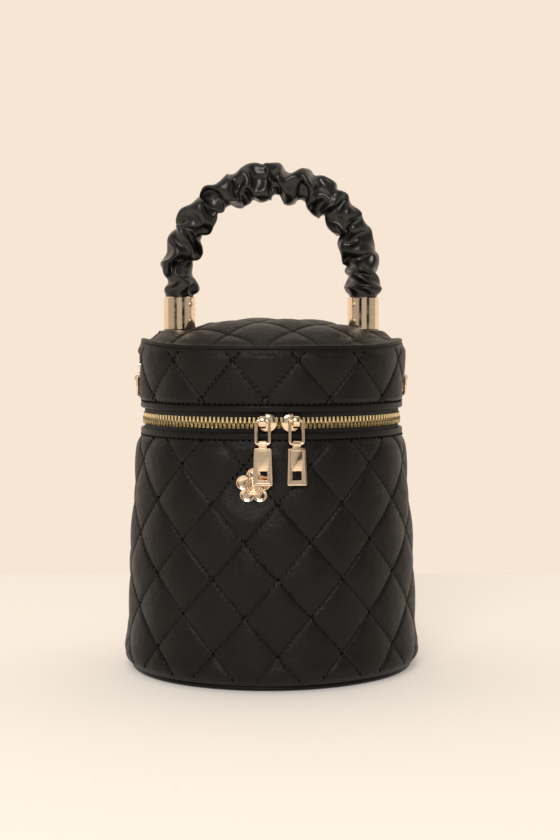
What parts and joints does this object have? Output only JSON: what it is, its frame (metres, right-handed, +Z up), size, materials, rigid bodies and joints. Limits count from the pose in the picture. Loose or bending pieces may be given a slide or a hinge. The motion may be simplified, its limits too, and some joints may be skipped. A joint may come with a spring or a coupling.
{
  "type": "bucket bag",
  "caption": "Oval quilted bucket bag with a zip-round flip lid, ruched arch handle in metal ferrules, paired zip pulls and side rings.",
  "frame": {"origin": "centre of the base, on the surface the bag stands on", "axes": "+X along the long axis of the oval, -Y out of the front where the zip sliders meet, +Z up"},
  "size_m": [0.175, 0.149, 0.299],
  "materials": {
    "quilted_leather": "fine-grained black faux leather, soft sheen, diamond quilting in black thread",
    "smooth_leather": "the same black faux leather, unquilted, folded and edge-stitched",
    "handle_leather": "thin soft black faux leather, gathered, glossier on the folds",
    "gold_metal": "polished pale gold plating",
    "zip_brass": "bright gold zip teeth",
    "zip_tape": "black woven herringbone tape",
    "lining": "black twill lining",
    "board": "raw fibre board",
    "foam": "soft padding",
    "steel": "plain hidden fastenings"
  },
  "bodies": {
    "body": {"body_leather": "quilted_leather", "body_board": "board", "body_lining": "lining", "body_rim_binding": "smooth_leather", "base_leather": "smooth_leather", "base_board": "board", "base_lining": "lining", "base_piping": "smooth_leather", "zip_tape_lower": "zip_tape", "zip_teeth_lower": "zip_brass", "zip_stops_lower": "zip_brass", "hinge_strip_lower": "smooth_leather", "flower_ornament": "gold_metal", "flower_rivet": "steel"},
    "lid": {"lid_band_leather": "quilted_leather", "lid_band_board": "board", "lid_band_lining": "lining", "lid_rim_binding": "smooth_leather", "lid_piping": "smooth_leather", "lid_top_leather": "quilted_leather", "lid_top_pad": "foam", "lid_top_board": "board", "lid_top_foam": "foam", "lid_top_lining": "lining", "zip_tape_upper": "zip_tape", "zip_teeth_upper": "zip_brass", "zip_stops_upper": "zip_brass", "hinge_strip_upper": "smooth_leather", "ferrule_left": "gold_metal", "ferrule_right": "gold_metal", "ferrule_screws": "gold_metal", "handle_bolts": "steel", "handle_washers": "steel", "handle_core": "foam", "handle_sleeve": "handle_leather", "hanger_left": "gold_metal", "hanger_right": "gold_metal", "hanger_rivets": "gold_metal"},
    "slider_left_body": {"slider_left": "gold_metal"},
    "link_left": {"pull_link_left": "gold_metal"},
    "tab_left": {"pull_tab_left": "gold_metal"},
    "ring_left": {"d_ring_left": "gold_metal"},
    "slider_right_body": {"slider_right": "gold_metal"},
    "link_right": {"pull_link_right": "gold_metal"},
    "tab_right": {"pull_tab_right": "gold_metal"},
    "ring_right": {"d_ring_right": "gold_metal"}
  },
  "joints": [
    {"name": "lid_hinge", "type": "hinge", "parent": "body", "child": "lid", "pos_m": [0, 0.0625, 0.149], "axis": [-1, 0, 0], "range_deg": [0, 110]},
    {"name": "slider_left_travel", "type": "hinge", "parent": "body", "child": "slider_left_body", "pos_m": [0, 0.0275, 0.149], "axis": [0, 0, -1], "range_deg": [0, 27]},
    {"name": "link_left_swing", "type": "hinge", "parent": "slider_left_body", "child": "link_left", "pos_m": [-0.00927, -0.06739, 0.1505], "axis": [-0.9976, 0.069, 0], "range_deg": [0, 110]},
    {"name": "tab_left_swing", "type": "hinge", "parent": "link_left", "child": "tab_left", "pos_m": [-0.00934, -0.0684, 0.13754], "axis": [-0.9976, 0.069, 0], "range_deg": [0, 90]},
    {"name": "slider_right_travel", "type": "hinge", "parent": "body", "child": "slider_right_body", "pos_m": [0, 0.0275, 0.149], "axis": [0, 0, 1], "range_deg": [0, 27]},
    {"name": "link_right_swing", "type": "hinge", "parent": "slider_right_body", "child": "link_right", "pos_m": [0.00927, -0.06739, 0.1505], "axis": [-0.9976, -0.069, 0], "range_deg": [0, 110]},
    {"name": "tab_right_swing", "type": "hinge", "parent": "link_right", "child": "tab_right", "pos_m": [0.00934, -0.0684, 0.13754], "axis": [-0.9976, -0.069, 0], "range_deg": [0, 90]},
    {"name": "ring_left_swing", "type": "hinge", "parent": "lid", "child": "ring_left", "pos_m": [-0.0798, 0, 0.172], "axis": [0, 1, 0], "range_deg": [0, 150]},
    {"name": "ring_right_swing", "type": "hinge", "parent": "lid", "child": "ring_right", "pos_m": [0.0798, 0, 0.172], "axis": [0, -1, 0], "range_deg": [0, 150]}
  ]
}
